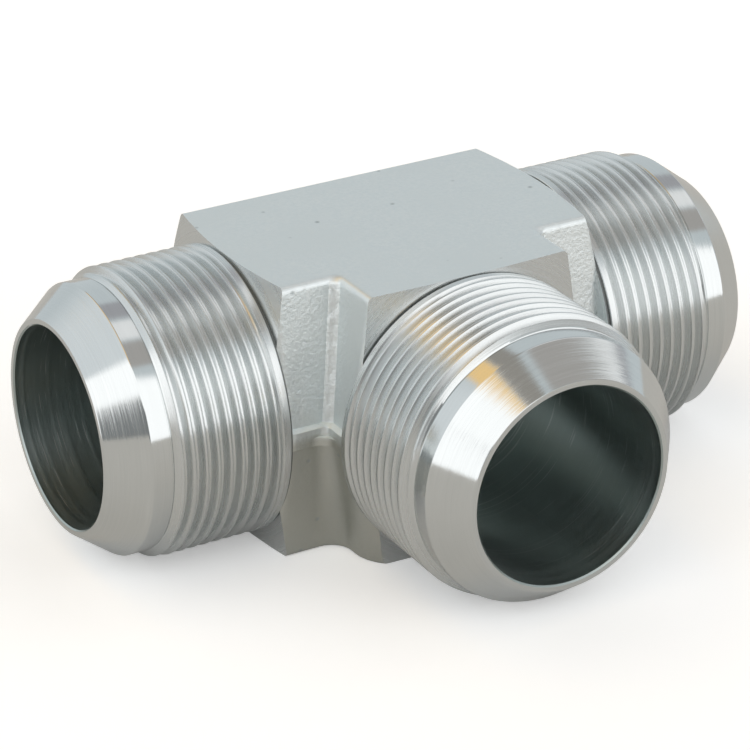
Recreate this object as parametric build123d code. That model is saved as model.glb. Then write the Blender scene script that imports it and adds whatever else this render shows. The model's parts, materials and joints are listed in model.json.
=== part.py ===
"""Union tee for flared hydraulic tube: a drafted steel forging with three turned 37 degree flare ends.

The run lies along X, the branch points along -Y and +Z is up.
The origin is where the axes of the run bore and the branch bore cross.
"""
from build123d import *
import os
from math import radians, tan

os.makedirs("parts", exist_ok=True)

# Driving dimensions, in millimetres and degrees
run_reach = 59.4            # centre to the tip of each run end
branch_reach = 57.4         # centre to the tip of the branch end
bore_dia = 33.3             # through bore, the same in all three ends
bore_edge_break = 0.3       # small chamfer where the bore meets each tip

# Turned flare end, which runs from the body's shoulder to the tip
seat_half_angle = 37.0      # flare seat, measured from the axis
tip_dia = 35.5              # outside diameter of the flat tip
nose_dia = 44.6             # plain nose behind the seat
nose_back = 9.6             # tip to the foot of the thread's lead-in
lead_in_angle = 45.0        # lead-in chamfer of the thread, measured from the axis
thread_major_dia = 47.58    # major diameter of the thread, left plain here
groove_width = 0.4          # tool groove between the plain collar and the turned shoulder
groove_dia = 46.6
root_angle = 75.0           # cone behind the groove, beside the narrower body
run_shoulder_angle = 16.0   # how far the turned shoulder of a run end leans back from square
branch_shoulder_angle = 5.0

# Forged body, measured at the flats where its side faces would meet them sharp
flat_height = 47.6          # across the top and bottom flats
run_width = 34.8
branch_width = 36.4
run_arm = 11.5              # side of the branch to the shoulder of each run end
branch_arm = 10.3           # side of the run to the shoulder of the branch end
turning_stock = 0.9         # how far the forged ends reach past the shoulders before turning
draft_angle = 8.5           # forging draft of the side faces
flat_edge_radius = 0.8      # edges round the two flats

# Upright corner radii: the upper die is sharp, the lower one rounder towards its flat
run_corner_radius = 2.2
upper_branch_corner_radius = 1.9
upper_valley_radius = 1.4   # inner corners between run and branch
lower_branch_corner_radius = 6.5
lower_valley_radius = 3.8
parting_branch_corner_radius = 3.2
parting_valley_radius = 2.6

# Trimmed flash land along the parting line
land_top = 0.75             # height of its upper edge
land_split = -0.9           # height where the shapes of the two dies meet in it
land_bottom = -2.55         # height of its lower edge
land_proud = 0.9

run_shoulder = branch_width / 2 + run_arm
branch_shoulder = run_width / 2 + branch_arm
upper_corners = (upper_branch_corner_radius, upper_valley_radius)
lower_corners = (lower_branch_corner_radius, lower_valley_radius)
parting_corners = (parting_branch_corner_radius, parting_valley_radius)


def tee_outline(spread, height, radii):
    """T outline of the body at one height, its side faces moved out by the given spread."""
    half_run = run_width / 2 + spread
    half_branch = branch_width / 2 + spread
    run_end = run_shoulder + turning_stock
    branch_end = branch_shoulder + turning_stock
    branch_corner, valley = radii
    corners = [
        (-run_end, half_run, run_corner_radius),
        (-run_end, -half_run, run_corner_radius),
        (-half_branch, -half_run, valley),
        (-half_branch, -branch_end, branch_corner),
        (half_branch, -branch_end, branch_corner),
        (half_branch, -half_run, valley),
        (run_end, -half_run, run_corner_radius),
        (run_end, half_run, run_corner_radius),
    ]
    points = [(x, y, height) for x, y, radius in corners]
    rounds = [radius for x, y, radius in corners]
    return make_face(FilletPolyline(*points, radius=rounds, close=True)).face()


def die_half(height, flat_radii, parting_radii):
    """Half of the forging, from the parting plane to a flat whose edges are rounded."""
    spread = abs(height) * tan(radians(draft_angle))
    half = loft([tee_outline(spread, 0, parting_radii), tee_outline(0, height, flat_radii)], ruled=True)
    flat_edges = [e for e in half.edges() if abs(e.center().Z - height) < 0.01]
    return fillet(flat_edges, flat_edge_radius)


def land(bottom, top, radii):
    """Part of the flash land between two heights."""
    spread = flat_height / 2 * tan(radians(draft_angle)) + land_proud
    return extrude(tee_outline(spread, bottom, radii), top - bottom)


def forging():
    """Two drafted halves that meet at the parting plane, with the trimmed land round them."""
    upper = die_half(flat_height / 2, upper_corners, upper_corners)
    lower = die_half(-flat_height / 2, lower_corners, parting_corners)
    upper_land = land(land_split, land_top, upper_corners)
    lower_land = land(land_bottom, land_split, parting_corners)
    return upper + lower + upper_land + lower_land


def revolved(points):
    """Solid of revolution about X from a closed half section of (x, radius) points."""
    return revolve(make_face(Polyline(points, close=True)), axis=Axis.X)


def turning_cut(shoulder, shoulder_angle, reach):
    """Metal that turning takes off the forging outside the shoulder, along +X."""
    foot_radius = groove_dia / 2
    clear_radius = flat_height
    lean = (clear_radius - foot_radius) * tan(radians(shoulder_angle))
    return revolved([
        (shoulder, 0),
        (shoulder, foot_radius),
        (shoulder - lean, clear_radius),
        (2 * reach, clear_radius),
        (2 * reach, 0),
    ])


def flare_end(shoulder, reach):
    """One turned end, along +X, with the root that joins it to the narrower sides of the body."""
    tip_r = tip_dia / 2
    nose_r = nose_dia / 2
    major_r = thread_major_dia / 2
    groove_r = groove_dia / 2
    seat_length = (nose_r - tip_r) / tan(radians(seat_half_angle))
    lead_in_length = (major_r - nose_r) / tan(radians(lead_in_angle))
    root_r = (bore_dia + groove_dia) / 4
    root_length = (groove_r - root_r) / tan(radians(root_angle))
    return revolved([
        (shoulder - root_length, 0),
        (reach, 0),
        (reach, tip_r),
        (reach - seat_length, nose_r),
        (reach - nose_back, nose_r),
        (reach - nose_back - lead_in_length, major_r),
        (shoulder + groove_width, major_r),
        (shoulder + groove_width, groove_r),
        (shoulder, groove_r),
        (shoulder - root_length, root_r),
    ])


def bore(reach):
    """Bore from the centre out through one tip along +X, with its edge broken."""
    bore_r = bore_dia / 2
    return revolved([
        (0, 0),
        (reach + bore_edge_break, 0),
        (reach + bore_edge_break, bore_r + 2 * bore_edge_break),
        (reach - bore_edge_break, bore_r),
        (0, bore_r),
    ])


ends = [
    (Rot(0, 0, 0), run_shoulder, run_shoulder_angle, run_reach),
    (Rot(0, 0, 180), run_shoulder, run_shoulder_angle, run_reach),
    (Rot(0, 0, -90), branch_shoulder, branch_shoulder_angle, branch_reach),
]

tee = forging()
for turn, shoulder, shoulder_angle, reach in ends:
    tee -= turn * turning_cut(shoulder, shoulder_angle, reach)
    tee += turn * flare_end(shoulder, reach)
for turn, shoulder, shoulder_angle, reach in ends:
    tee -= turn * bore(reach)

export_step(tee, "parts/tee_body.step")
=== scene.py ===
"""Dressed model of a forged union tee with three male flare ends, with its studio and its camera.

Sizes are in millimetres and degrees, and mesh_object() turns them into metres.
The run lies along X, the branch points along -Y and +Z is up.
"""
import json
from math import cos, pi, radians, sin, tan

import bmesh
import bpy
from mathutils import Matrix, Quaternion, Vector, noise


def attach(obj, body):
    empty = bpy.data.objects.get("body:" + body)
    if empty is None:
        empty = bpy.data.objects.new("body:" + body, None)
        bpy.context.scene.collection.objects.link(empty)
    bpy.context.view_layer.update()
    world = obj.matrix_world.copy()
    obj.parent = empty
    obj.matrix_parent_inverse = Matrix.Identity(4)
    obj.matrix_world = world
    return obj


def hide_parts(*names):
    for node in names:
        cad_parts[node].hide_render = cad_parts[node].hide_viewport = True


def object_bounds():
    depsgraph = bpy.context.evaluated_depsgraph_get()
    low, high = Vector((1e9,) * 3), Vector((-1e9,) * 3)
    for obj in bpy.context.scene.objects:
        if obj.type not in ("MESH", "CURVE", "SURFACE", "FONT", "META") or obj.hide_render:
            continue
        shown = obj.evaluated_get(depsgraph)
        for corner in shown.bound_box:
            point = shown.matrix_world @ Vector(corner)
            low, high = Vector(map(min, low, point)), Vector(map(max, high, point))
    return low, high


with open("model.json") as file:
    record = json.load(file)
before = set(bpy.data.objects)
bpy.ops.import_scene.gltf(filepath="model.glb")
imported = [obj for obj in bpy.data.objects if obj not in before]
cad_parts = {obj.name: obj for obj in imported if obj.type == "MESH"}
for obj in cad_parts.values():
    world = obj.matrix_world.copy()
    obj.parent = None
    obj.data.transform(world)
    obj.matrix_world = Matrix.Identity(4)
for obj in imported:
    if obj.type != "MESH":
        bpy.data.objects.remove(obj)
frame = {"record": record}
cad_low, cad_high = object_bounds()

MM = 0.001

# Sizes read from the frame
mounts = {mount["name"]: mount for mount in frame["record"]["mounts"]}
run_reach = cad_high.x / MM
branch_reach = -cad_low.y / MM
half_height = cad_high.z / MM
major_radius = mounts["run_left_thread"]["dims"]["r_mm"]
bore_radius = mounts["run_bore"]["dims"]["r_mm"]

# Turned flare end, from the body's shoulder to the tip
tip_radius = 17.75
nose_radius = 22.3
seat_half_angle = 37.0
nose_back = 9.6
collar_length = 1.2
groove_width = 0.4
groove_radius = 23.3
root_radius = 19.975
root_angle = 75.0
undercut_width = 0.22
undercut_depth = 0.18
edge_break = 0.12

# Thread of twelve turns to the inch
pitch = 25.4 / 12
thread_depth = 0.6134 * pitch
crest_share = 0.05
root_share = 0.06
runout_turns = 0.35

# Forged body, measured at the flats
run_half_width = 17.4
branch_half_width = 18.2
run_shoulder = branch_half_width + 11.5
branch_shoulder = run_half_width + 10.3
run_shoulder_angle = 16.0
branch_shoulder_angle = 5.0
turning_stock = 0.9
draft_angle = 8.5
flat_edge_radius = 0.8
land_top = 0.75
land_split = -0.9
land_bottom = -2.55
land_proud = 0.9

# Upright corner radii of the two dies: run corner, branch corner and valley
upper_radii = (2.2, 1.9, 1.4)
parting_radii = (2.2, 3.2, 2.6)
lower_radii = (2.2, 6.5, 3.8)

# How finely the meshes are divided
ring_steps = 160
thread_steps = 10
side_step = 0.6
arc_steps = 7
edge_steps = 4

# Places in the list of materials
# The last place holds painted shade for the groove floor
FORGED, TURNED_RUN, TURNED_BRANCH, BORED_RUN, BORED_BRANCH, GROOVE_SHADE = range(6)


# Colours of the studio
BACK_COLOR = (0.62, 0.67, 0.69)
SIDE_COLOR = (0.80, 0.84, 0.86)
FRONT_COLOR = (1.35, 1.35, 1.35)
LAMP_COLOR = (1.05, 0.72, 0.33)
FIGURE_COLOR = (0.12, 0.13, 0.13)
CEILING = [
    ("skew", -0.20, 0.12, -9.0, 0.04, (0.35, 0.33, 0.30)),
    ("along", -0.55, -0.10, 0.2, 0.04, (0.45, 0.43, 0.41)),
    ("along", -0.06, 0.28, 0.2, 0.04, (0.95, 0.95, 0.95)),
    ("along", 0.34, 0.80, 0.2, 0.06, (0.42, 0.42, 0.44)),
]


# Node helpers

def add_node(tree, kind, **settings):
    """Adds a shader node, setting its attributes and, where a name is a socket's, its input."""
    node = tree.nodes.new(kind)
    for name, value in settings.items():
        if hasattr(node, name):
            setattr(node, name, value)
        else:
            node.inputs[name.replace("_", " ")].default_value = value
    return node


def math_node(tree, operation, first, second=0.0):
    """Adds a math node whose inputs are sockets or numbers, and gives its output."""
    node = add_node(tree, "ShaderNodeMath", operation=operation)
    for index, value in enumerate((first, second)):
        if isinstance(value, bpy.types.NodeSocket):
            tree.links.new(value, node.inputs[index])
        else:
            node.inputs[index].default_value = value
    return node.outputs[0]


def vector_node(tree, operation, first, second=(0.0, 0.0, 0.0), scale=None):
    """Adds a vector math node and gives its value output for dot products and lengths, else its vector."""
    node = add_node(tree, "ShaderNodeVectorMath", operation=operation)
    for index, value in enumerate((first, second)):
        if isinstance(value, bpy.types.NodeSocket):
            tree.links.new(value, node.inputs[index])
        else:
            node.inputs[index].default_value = value
    if scale is not None:
        node.inputs["Scale"].default_value = scale
    scalar = operation in ("DOT_PRODUCT", "LENGTH")
    return node.outputs["Value" if scalar else "Vector"]


def noise_node(tree, vector, scale, detail=2.0, roughness=0.5):
    """Adds a noise texture on the given coordinates and gives its factor."""
    node = add_node(tree, "ShaderNodeTexNoise")
    node.inputs["Scale"].default_value = scale
    node.inputs["Detail"].default_value = detail
    node.inputs["Roughness"].default_value = roughness
    tree.links.new(vector, node.inputs["Vector"])
    return node.outputs["Fac"]


def ramp_node(tree, factor, low, high, start=0.0, end=1.0):
    """Maps a factor from one range to another, clamped, and gives the result."""
    node = add_node(tree, "ShaderNodeMapRange")
    tree.links.new(factor, node.inputs["Value"])
    for name, value in (("From Min", low), ("From Max", high), ("To Min", start), ("To Max", end)):
        node.inputs[name].default_value = value
    return node.outputs["Result"]


def mix_colors(tree, factor, first, second):
    """Mixes two colours by a factor socket and gives the colour."""
    node = add_node(tree, "ShaderNodeMix", data_type="RGBA")
    tree.links.new(factor, node.inputs["Factor"])
    for name, value in (("A", first), ("B", second)):
        socket = [s for s in node.inputs if s.name == name and s.type == "RGBA"][0]
        if isinstance(value, bpy.types.NodeSocket):
            tree.links.new(value, socket)
        else:
            socket.default_value = (*value, 1.0)
    return [s for s in node.outputs if s.type == "RGBA"][0]


def bump_node(tree, height, distance, strength=1.0, normal=None):
    """Adds a bump of the given height in metres and gives its normal."""
    node = add_node(tree, "ShaderNodeBump")
    node.inputs["Strength"].default_value = strength
    node.inputs["Distance"].default_value = distance
    tree.links.new(height, node.inputs["Height"])
    if normal is not None:
        tree.links.new(normal, node.inputs["Normal"])
    return node.outputs["Normal"]


# Materials

def new_material(name, metallic=1.0):
    """Makes an empty material with its Principled shader, and gives it, its tree and the shader."""
    material = bpy.data.materials.new(name)
    material.use_nodes = True
    tree = material.node_tree
    shader = tree.nodes["Principled BSDF"]
    shader.inputs["Metallic"].default_value = metallic
    return material, tree, shader


def object_point(tree):
    """Position on the object, in metres."""
    return add_node(tree, "ShaderNodeTexCoord").outputs["Object"]


def forged_material():
    """Zinc plated forging skin: matte grey, rough in the upper notches and smooth below, where a darker
    warm grey paints the floor's reflection.
    """
    material, tree, shader = new_material("forged")
    point = object_point(tree)
    parts = add_node(tree, "ShaderNodeSeparateXYZ")
    tree.links.new(point, parts.inputs[0])
    grain = noise_node(tree, point, 2600.0, detail=3.0, roughness=0.6)
    mottle = noise_node(tree, point, 1500.0, detail=3.0, roughness=0.55)
    cloud = noise_node(tree, point, 60.0, detail=2.0)
    streak_point = vector_node(tree, "MULTIPLY", point, (1.0, 1.0, 0.12))
    streak = noise_node(tree, streak_point, 900.0, detail=3.0)
    pits = add_node(tree, "ShaderNodeTexVoronoi")
    pits.inputs["Scale"].default_value = 150.0
    tree.links.new(point, pits.inputs["Vector"])
    pit_depth = ramp_node(tree, pits.outputs["Distance"], 0.02, 0.08, 0.0, 1.0)
    shade = ramp_node(tree, mottle, 0.3, 0.7)
    plain = mix_colors(tree, shade, (0.80, 0.85, 0.86), (0.86, 0.90, 0.905))
    clouded = mix_colors(tree, ramp_node(tree, cloud, 0.4, 0.7), plain, (0.82, 0.865, 0.87))
    # Below the parting line the colour turns a darker warm grey: a painted reflection of the warm floor
    below = ramp_node(tree, parts.outputs["Z"], -0.0002, -0.0016)
    floor_reflection_painted = mix_colors(tree, below, clouded, (0.62, 0.63, 0.59))
    color = mix_colors(tree, pit_depth, (0.50, 0.54, 0.55), floor_reflection_painted)
    tree.links.new(color, shader.inputs["Base Color"])
    tree.links.new(ramp_node(tree, mottle, 0.2, 0.8, 0.40, 0.52), shader.inputs["Roughness"])
    side = ramp_node(tree, parts.outputs["Z"], 0.0234, 0.0228)
    upper = math_node(tree, "MULTIPLY", side, ramp_node(tree, below, 0.0, 1.0, 1.0, 0.12))
    notch = ramp_node(tree, parts.outputs["Y"], -0.0235, -0.0215, 0.15, 1.0)
    rough = math_node(tree, "MULTIPLY", upper, notch)
    rough_height = math_node(tree, "MULTIPLY", mottle, math_node(tree, "ADD", rough, 0.12))
    streaked = math_node(tree, "MULTIPLY", streak, math_node(tree, "MULTIPLY", upper, 0.35))
    coarse = bump_node(tree, math_node(tree, "ADD", rough_height, streaked), 0.00015, strength=0.8)
    fine = bump_node(tree, grain, 0.00004, strength=0.6, normal=coarse)
    dented = bump_node(tree, pit_depth, 0.00008, strength=0.7, normal=fine)
    tree.links.new(dented, shader.inputs["Normal"])
    return material


def turned_material(name, axis, color, polish, mark_depth, painted_glint_strength=0.0):
    """Bright turned metal with fine marks that run round the given axis and, where asked, near-white
    dashes along the rings as painted glints.

    The polish gives the roughness inside the nose radius and the one outside it, on the thread.
    """
    material, tree, shader = new_material(name)
    point = object_point(tree)
    along = vector_node(tree, "DOT_PRODUCT", point, axis)
    across = vector_node(tree, "LENGTH", vector_node(tree, "CROSS_PRODUCT", point, axis))
    rings = add_node(tree, "ShaderNodeCombineXYZ")
    tree.links.new(along, rings.inputs["X"])
    tree.links.new(across, rings.inputs["Y"])
    drift = vector_node(tree, "SCALE", point, scale=0.012)
    ring_point = vector_node(tree, "ADD", rings.outputs["Vector"], drift)
    fine = noise_node(tree, ring_point, 5200.0, detail=3.0, roughness=0.7)
    broad = noise_node(tree, ring_point, 1300.0, detail=2.0)
    stain = noise_node(tree, point, 90.0, detail=3.0)
    tone = mix_colors(tree, ramp_node(tree, fine, 0.3, 0.7), [0.93 * c for c in color], color)
    tone = mix_colors(tree, ramp_node(tree, stain, 0.45, 0.75), tone, [0.95 * c for c in color])
    # Painted glints: near-white dashes along the turning rings, painted highlights as strong as the
    # painted glint strength
    dash_drift = vector_node(tree, "SCALE", point, scale=0.05)
    dash_point = vector_node(tree, "ADD", rings.outputs["Vector"], dash_drift)
    painted_glints = ramp_node(tree, noise_node(tree, dash_point, 2400.0, detail=1.0), 0.66, 0.72)
    tone = mix_colors(tree, math_node(tree, "MULTIPLY", painted_glints, painted_glint_strength), tone, (0.95, 0.95, 0.95))
    tree.links.new(tone, shader.inputs["Base Color"])
    inner, outer = polish
    smoothness = ramp_node(tree, across, (nose_radius + 0.03) * MM, (nose_radius + 0.3) * MM, inner, outer)
    unevenness = ramp_node(tree, broad, 0.3, 0.7, 0.85, 1.2)
    tree.links.new(math_node(tree, "MULTIPLY", smoothness, unevenness), shader.inputs["Roughness"])
    shader.inputs["Anisotropic"].default_value = 0.5
    shader.inputs["Anisotropic Rotation"].default_value = 0.25
    tangent = vector_node(tree, "NORMALIZE", vector_node(tree, "CROSS_PRODUCT", axis, point))
    tree.links.new(tangent, shader.inputs["Tangent"])
    marks = bump_node(tree, fine, mark_depth, strength=0.5)
    waves = bump_node(tree, broad, mark_depth * 1.5, strength=0.4, normal=marks)
    tree.links.new(waves, shader.inputs["Normal"])
    return material


def groove_shade_material():
    """Dark, dull colour for the narrow groove floor: painted shade, the groove's shadow painted into the
    metal.
    """
    material, tree, shader = new_material("painted_groove_shade")
    # Painted shade: near-black colour where the groove lies in shadow
    shader.inputs["Base Color"].default_value = (0.20, 0.21, 0.21, 1.0)
    shader.inputs["Roughness"].default_value = 0.5
    return material


# Mesh helpers

def mesh_object(name, points, faces, material_indices):
    """Makes a mesh object from points in millimetres, welded, with its faces turned outward."""
    data = bpy.data.meshes.new(name)
    data.from_pydata([Vector(point) * MM for point in points], [], faces)
    data.polygons.foreach_set("material_index", material_indices)
    for material in materials:
        data.materials.append(material)
    built = bmesh.new()
    built.from_mesh(data)
    bmesh.ops.remove_doubles(built, verts=built.verts, dist=1e-7)
    bmesh.ops.dissolve_degenerate(built, edges=built.edges, dist=1e-7)
    bmesh.ops.recalc_face_normals(built, faces=built.faces)
    built.to_mesh(data)
    built.free()
    obj = bpy.data.objects.new(name, data)
    bpy.context.scene.collection.objects.link(obj)
    return obj


def apply_modifiers(obj):
    """Replaces an object's mesh by what its modifiers give."""
    graph = bpy.context.evaluated_depsgraph_get()
    baked = bpy.data.meshes.new_from_object(obj.evaluated_get(graph))
    obj.modifiers.clear()
    obj.data = baked


def combine(obj, other, operation):
    """Joins another solid to an object or cuts it away, and drops the other."""
    modifier = obj.modifiers.new(operation, "BOOLEAN")
    modifier.operation = operation
    modifier.solver = "MANIFOLD"
    modifier.object = other
    apply_modifiers(obj)
    bpy.data.objects.remove(other)


def lathe(name, axis, rows, material, closed=True, painted_shade_rows=()):
    """Solid of revolution round an axis from rows of (distance, radius) pairs.

    A row is one pair, or a function that gives the pair at an angle, which makes a helix.
    The faces that start at one of the dark rows get the painted groove shade: a dark colour that paints
    the shadow in a narrow groove.
    """
    side = Vector((axis.y, -axis.x, 0)) if axis.x == 0 else Vector((0, axis.x, 0))
    up = axis.cross(side)
    points = []
    for row in rows:
        for step in range(ring_steps + 1):
            angle = 2 * pi * step / ring_steps
            distance, radius = row(angle) if callable(row) else row
            points.append(axis * distance + (side * cos(angle) + up * sin(angle)) * radius)
    width = ring_steps + 1
    pairs = [(row, row + 1) for row in range(len(rows) - 1)]
    if closed:
        pairs.append((len(rows) - 1, 0))
    faces = []
    finishes = []
    for lower, upper in pairs:
        finishes += [GROOVE_SHADE if lower in painted_shade_rows else material] * ring_steps
        for step in range(ring_steps):
            a = lower * width + step
            b = upper * width + step
            faces.append((a, a + 1, b + 1, b))
    return mesh_object(name, points, faces, finishes)


# Turned flare ends

def thread_sink(position):
    """How deep a rounded thread has sunk below its crest, where position counts pitches from a crest."""
    offset = abs(position - round(position))
    share = min(max((offset - crest_share) / (0.5 - crest_share - root_share), 0.0), 1.0)
    return thread_depth * (1 - cos(pi * share)) / 2


def thread_rows(start, end, envelope, phase):
    """Helical rows from the plain collar to the foot of the lead-in."""
    first_turn = int((start - phase) / pitch) - 2
    last_turn = int((end - phase) / pitch) + 1
    rows = []
    for turn in range(first_turn, last_turn + 1):
        for step in range(thread_steps):
            position = turn + step / thread_steps

            def row(angle, position=position):
                distance = phase + (position + angle / (2 * pi)) * pitch
                distance = min(max(distance, start), end)
                fade = min((distance - start) / (runout_turns * pitch), 1.0)
                return distance, min(envelope(distance), major_radius - thread_sink(position) * fade)

            rows.append(row)
    return rows


def flare_end(name, axis, shoulder, reach, phase, material):
    """One threaded end with its root, groove, collar, nose and seat, round the given axis."""
    collar_inner = shoulder + groove_width
    foot = reach - nose_back
    lead_in = foot - (major_radius - nose_radius)
    seat_length = (nose_radius - tip_radius) / tan(radians(seat_half_angle))
    root_length = (groove_radius - root_radius) / tan(radians(root_angle))

    def envelope(distance):
        return min(major_radius, major_radius - (distance - lead_in))

    hidden = bore_radius - 2.0
    # The groove floor's faces get the painted groove shade
    groove_floor = 2
    rows = [
        (shoulder - root_length, hidden),
        (shoulder - root_length, root_radius),
        (shoulder, groove_radius),
        (collar_inner, groove_radius),
        (collar_inner, major_radius - edge_break),
        (collar_inner + edge_break, major_radius),
        (collar_inner + collar_length, major_radius),
    ]
    rows += thread_rows(collar_inner + collar_length, foot, envelope, phase)
    rows += [
        (foot, nose_radius),
        (foot + edge_break / 2, nose_radius - undercut_depth),
        (foot + undercut_width, nose_radius - undercut_depth),
        (foot + undercut_width + edge_break, nose_radius),
        (reach - seat_length - edge_break, nose_radius),
        (reach - seat_length + edge_break, nose_radius - edge_break),
        (reach - edge_break, tip_radius + edge_break / 2),
        (reach, tip_radius - edge_break / 2),
        (reach, hidden),
    ]
    return lathe(name, axis, rows, material, painted_shade_rows=(groove_floor,))


def turning_cut(name, axis, shoulder, lean_angle, reach, material):
    """Metal that turning takes off the forging outside a shoulder."""
    clear_radius = 2 * groove_radius
    lean = (clear_radius - groove_radius) * tan(radians(lean_angle))
    rows = [
        (shoulder, 0.0),
        (shoulder, groove_radius),
        (shoulder - lean, clear_radius),
        (2 * reach, clear_radius),
        (2 * reach, 0.0),
    ]
    return lathe(name, axis, rows, material, closed=False)


def bore_cut(name, axis, start, reach, material):
    """Bore from a point on the axis out through the tip, with its edge broken."""
    rows = [
        (start, 0.0),
        (start, bore_radius),
        (reach - 2 * edge_break, bore_radius),
        (reach + edge_break, bore_radius + 3 * edge_break),
        (reach + edge_break, 0.0),
    ]
    return lathe(name, axis, rows, material, closed=False)


# Forged body

def body_corners(spread, radii):
    """Corners of the T at a given spread of its side faces, each with its radius."""
    run_end = run_shoulder + turning_stock
    branch_end = branch_shoulder + turning_stock
    run_side = run_half_width + spread
    branch_side = branch_half_width + spread
    run_corner, branch_corner, valley = radii
    places = [
        (-run_end, run_side, run_corner),
        (-run_end, -run_side, run_corner),
        (-branch_side, -run_side, valley),
        (-branch_side, -branch_end, branch_corner),
        (branch_side, -branch_end, branch_corner),
        (branch_side, -run_side, valley),
        (run_end, -run_side, run_corner),
        (run_end, run_side, run_corner),
    ]
    return [(Vector((x, y, 0)), radius) for x, y, radius in places]


def valley_ridge(index, share, height):
    """How far the ragged bead in an upper valley stands out of the valley's arc at a share of its turn."""
    if index not in (2, 5) or height < land_top or height > half_height - flat_edge_radius:
        return 0.0
    from_run = share if index == 2 else 1 - share
    ragged = 0.8 + 0.6 * noise.noise(Vector((index, from_run, height * 0.9)))
    if from_run < 0.1:
        return -0.10 * ragged
    return 0.30 * ragged * sin(pi * min(from_run + 0.15, 1.0)) ** 0.6


def body_outline(spread, height):
    """Points round the T, with the same count at every height."""
    corners = body_corners(spread, die_radii(height))
    nominal = body_corners(0.0, lower_radii)
    count = len(corners)
    points = []
    for index in range(count):
        corner, radius = corners[index]
        before = (corner - corners[index - 1][0]).normalized()
        after = (corners[(index + 1) % count][0] - corner).normalized()
        centre = corner + (after - before) * radius
        for step in range(arc_steps + 1):
            turn = pi / 2 * step / arc_steps
            reach = radius - valley_ridge(index, step / arc_steps, height)
            points.append(centre + (before * sin(turn) - after * cos(turn)) * reach)
        following, next_radius = corners[(index + 1) % count]
        place, nominal_radius = nominal[index]
        next_place, nominal_next = nominal[(index + 1) % count]
        length = (next_place - place).length - nominal_radius - nominal_next
        steps = max(2, round(length / side_step))
        start = corner + after * radius
        end = following - after * next_radius
        points += [start.lerp(end, step / steps) for step in range(1, steps)]
    return points


def draft(height):
    """How far a drafted side stands out at a height, from its place at the flats."""
    return (half_height - abs(height)) * tan(radians(draft_angle))


def die_radii(height):
    """Upright corner radii at a height: constant in the upper die, growing downward in the lower."""
    if height > land_split:
        return upper_radii
    share = -height / half_height
    return tuple(low + (high - low) * share for low, high in zip(parting_radii, lower_radii))


def side_rows(top, bottom):
    """Heights and spreads of the rings on a drafted side between two heights, without the first."""
    steps = round((top - bottom) / side_step)
    heights = [top + (bottom - top) * step / steps for step in range(1, steps + 1)]
    return [(height, draft(height)) for height in heights]


def body_sections():
    """Heights of the body's rings and how far the sides spread at each, from top to bottom."""
    upper = [(half_height, -flat_edge_radius - 0.5)]
    for step in range(edge_steps + 1):
        turn = pi / 2 * step / edge_steps
        height = half_height - flat_edge_radius * (1 - cos(turn))
        upper.append((height, draft(height) - flat_edge_radius * (1 - sin(turn))))
    lower = [(-height, spread) for height, spread in reversed(upper)]
    land_spread = draft(0) + land_proud
    land_round = 0.18
    rows = upper + side_rows(half_height - flat_edge_radius, land_top + land_round)
    rows += [(land_top, draft(0) + 0.7 * land_proud), (land_top - land_round, land_spread)]
    rows += [(land_split + 0.05, land_spread), (land_split - 0.05, land_spread)]
    rows += [(land_bottom + land_round, land_spread)]
    rows += [(land_bottom, draft(0) + 0.7 * land_proud)]
    rows += [(land_bottom - land_round, draft(land_bottom))]
    rows += side_rows(land_bottom - land_round, -half_height + flat_edge_radius)[:-1]
    return rows + lower


def forged_body():
    """The forging before it is turned, with the slight waviness of a forged skin."""
    rings = [[point + Vector((0, 0, height)) for point in body_outline(spread, height)]
             for height, spread in body_sections()]
    width = len(rings[0])
    faces = [tuple(range(width)), tuple(reversed(range((len(rings) - 1) * width, len(rings) * width)))]
    for row in range(len(rings) - 1):
        for step in range(width):
            a = row * width + step
            b = row * width + (step + 1) % width
            faces.append((b, a, a + width, b + width))
    points = [point for ring in rings for point in ring]
    wavy = [skin_wave(point) for point in points]
    return mesh_object("tee", wavy, faces, [FORGED] * len(faces))


def skin_wave(point):
    """Moves a point of the side faces by the waviness of the forged skin."""
    if abs(point.z) > half_height - flat_edge_radius * 0.9:
        return point
    outward = Vector((point.x, point.y, 0)).normalized()
    broad = noise.noise(point * 0.16)
    close = noise.noise(point * 0.55 + Vector((7.0, 3.0, 5.0)))
    return point + outward * (0.10 * broad + 0.06 * close)


# Studio

def studio_floor():
    """Large pale floor under the lower flat, white to the camera and with the object's shadow."""
    size = 6000.0
    level = -half_height
    corners = [(-size, -size, level), (size, -size, level), (size, size, level), (-size, size, level)]
    data = bpy.data.meshes.new("floor")
    data.from_pydata([Vector(corner) * MM for corner in corners], [], [(0, 1, 2, 3)])
    floor = bpy.data.objects.new("floor", data)
    bpy.context.scene.collection.objects.link(floor)
    material, tree, shader = new_material("floor", metallic=0.0)
    rays = add_node(tree, "ShaderNodeLightPath")
    seen = math_node(tree, "MAXIMUM", rays.outputs["Is Camera Ray"], rays.outputs["Is Transmission Ray"])
    mirrored = math_node(tree, "MULTIPLY", rays.outputs["Is Glossy Ray"], 0.15)
    seen = math_node(tree, "MAXIMUM", seen, mirrored)
    color = mix_colors(tree, seen, (0.56, 0.548, 0.525), (0.98, 0.98, 0.98))
    tree.links.new(color, shader.inputs["Base Color"])
    shader.inputs["Roughness"].default_value = 1.0
    shader.inputs["Specular IOR Level"].default_value = 0.0
    shader.inputs["Emission Color"].default_value = (1.0, 1.0, 1.0, 1.0)
    tree.links.new(math_node(tree, "MULTIPLY", seen, 0.30), shader.inputs["Emission Strength"])
    data.materials.append(material)


def band(tree, value, low, high, soft):
    """Mask that is one between two limits of a value and fades out over a soft width."""
    rise = ramp_node(tree, value, low - soft, low + soft)
    fall = ramp_node(tree, value, high - soft, high + soft, 1.0, 0.0)
    return math_node(tree, "MULTIPLY", rise, fall)


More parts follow.
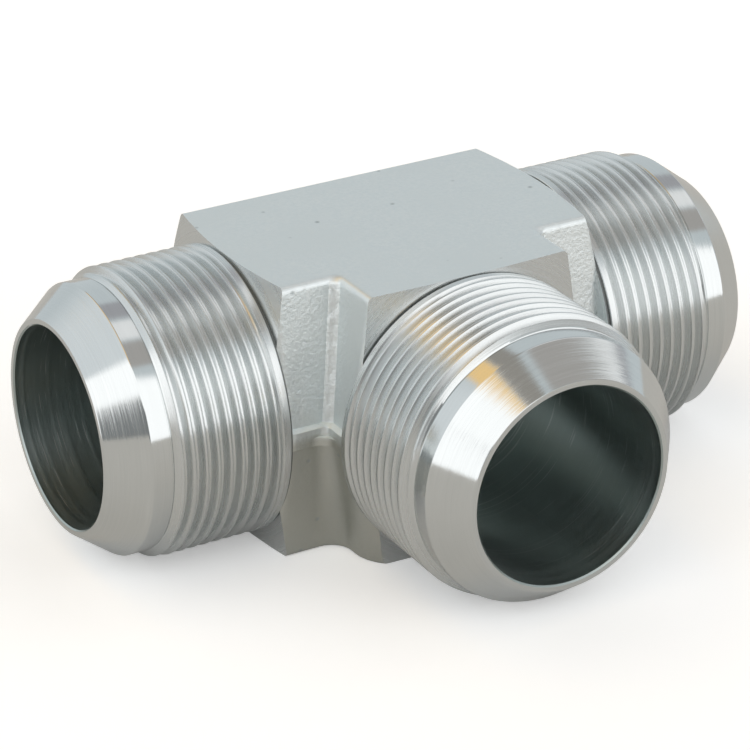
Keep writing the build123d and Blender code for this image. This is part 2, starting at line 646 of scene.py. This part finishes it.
def studio_world():
    """Soft surroundings: a white front, a cool grey back and a ceiling with lamps and dark bars."""
    world = bpy.data.worlds.new("studio")
    bpy.context.scene.world = world
    world.use_nodes = True
    tree = world.node_tree
    direction = add_node(tree, "ShaderNodeTexCoord").outputs["Generated"]
    parts = add_node(tree, "ShaderNodeSeparateXYZ")
    tree.links.new(direction, parts.inputs[0])
    height = math_node(tree, "MAXIMUM", parts.outputs["Z"], 0.02)
    across = math_node(tree, "DIVIDE", parts.outputs["X"], height)
    along = math_node(tree, "DIVIDE", parts.outputs["Y"], height)
    skew = math_node(tree, "SUBTRACT", across, math_node(tree, "MULTIPLY", along, 0.1))
    color = mix_colors(tree, ramp_node(tree, parts.outputs["X"], -0.15, -0.45), BACK_COLOR, SIDE_COLOR)
    for value, low, high, limit, soft, tone in CEILING:
        bar = band(tree, {"skew": skew, "along": along}[value], low, high, soft)
        bar = math_node(tree, "MULTIPLY", bar, ramp_node(tree, across, limit - soft, limit + soft))
        bar = math_node(tree, "MULTIPLY", bar, band(tree, along, -1.2, 1.55, 0.05))
        color = mix_colors(tree, bar, color, tone)
    lamp = band(tree, skew, -0.60, -0.22, 0.03)
    lamp = math_node(tree, "MULTIPLY", lamp, band(tree, along, -0.9, 1.5, 0.03))
    color = mix_colors(tree, lamp, color, LAMP_COLOR)
    front = vector_node(tree, "DOT_PRODUCT", direction, Vector((-0.35, -0.94, 0.0)))
    rise = math_node(tree, "DIVIDE", front, height)
    color = mix_colors(tree, ramp_node(tree, rise, 0.52, 0.66), color, FRONT_COLOR)
    bearing = math_node(tree, "ARCTAN2", parts.outputs["Y"], parts.outputs["X"])
    figure = band(tree, bearing, radians(-148.0), radians(-93.0), 0.04)
    figure = math_node(tree, "MULTIPLY", figure, band(tree, parts.outputs["Z"], -0.5, 0.42, 0.04))
    color = mix_colors(tree, math_node(tree, "MULTIPLY", figure, 0.9), color, FIGURE_COLOR)
    background = tree.nodes["Background"]
    tree.links.new(color, background.inputs["Color"])
    background.inputs["Strength"].default_value = 1.0


def photo_camera():
    """Camera fitted to the photograph: its place, the point it looks at, its roll and its lens."""
    place = Vector((-239.768, -417.194, 230.287)) * MM
    aim = Vector((-2.215, -1.135, -4.256)) * MM
    roll = -0.212
    data = bpy.data.cameras.new("camera")
    data.lens = 154.17
    data.sensor_width = 36.0
    camera = bpy.data.objects.new("camera", data)
    camera.location = place
    turn = (aim - place).to_track_quat("-Z", "Y") @ Quaternion((0, 0, 1), radians(roll))
    camera.rotation_mode = "QUATERNION"
    camera.rotation_quaternion = turn
    bpy.context.scene.collection.objects.link(camera)
    bpy.context.scene.camera = camera


# The tee

x_axis = Vector((1, 0, 0))
y_axis = Vector((0, 1, 0))
steel = (0.74, 0.765, 0.765)
# The bores' steel colour is darker than the outer steel: painted shade inside the bores
bore_steel_with_painted_shade = (0.47, 0.53, 0.52)
materials = [
    forged_material(),
    turned_material("turned_run", x_axis, steel, (0.11, 0.26), 0.00002),
    turned_material("turned_branch", y_axis, steel, (0.11, 0.26), 0.00002),
    # The bores get painted glints, bright dashes on their turning rings
    turned_material("bored_run", x_axis, bore_steel_with_painted_shade, (0.34, 0.34), 0.00003, painted_glint_strength=0.8),
    turned_material("bored_branch", y_axis, bore_steel_with_painted_shade, (0.34, 0.34), 0.00003, painted_glint_strength=0.35),
    groove_shade_material(),
]

ends = [
    ("left", -x_axis, run_shoulder, run_shoulder_angle, run_reach, 34.3, TURNED_RUN),
    ("right", x_axis, run_shoulder, run_shoulder_angle, run_reach, 34.3, TURNED_RUN),
    ("branch", -y_axis, branch_shoulder, branch_shoulder_angle, branch_reach, 33.0, TURNED_BRANCH),
]

tee = forged_body()
for name, axis, shoulder, lean_angle, reach, phase, finish in ends:
    cut = turning_cut(name + "_cut", axis, shoulder, lean_angle, reach, finish)
    combine(tee, cut, "DIFFERENCE")
for name, axis, shoulder, lean_angle, reach, phase, finish in ends:
    combine(tee, flare_end(name + "_end", axis, shoulder, reach, phase, finish), "UNION")
combine(tee, bore_cut("run_bore", x_axis, -run_reach / 2, run_reach, BORED_RUN), "DIFFERENCE")
combine(tee, bore_cut("left_bore", -x_axis, -run_reach / 2, run_reach, BORED_RUN), "DIFFERENCE")
combine(tee, bore_cut("branch_bore", -y_axis, 0.0, branch_reach, BORED_BRANCH), "DIFFERENCE")
tee.data.shade_smooth()
tee.data.set_sharp_from_angle(angle=radians(28))
weighted = tee.modifiers.new("normals", "WEIGHTED_NORMAL")
weighted.keep_sharp = True
apply_modifiers(tee)

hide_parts("tee_body")
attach(tee, "root")

studio_floor()
studio_world()
photo_camera()
bpy.context.scene.view_settings.view_transform = "Standard"
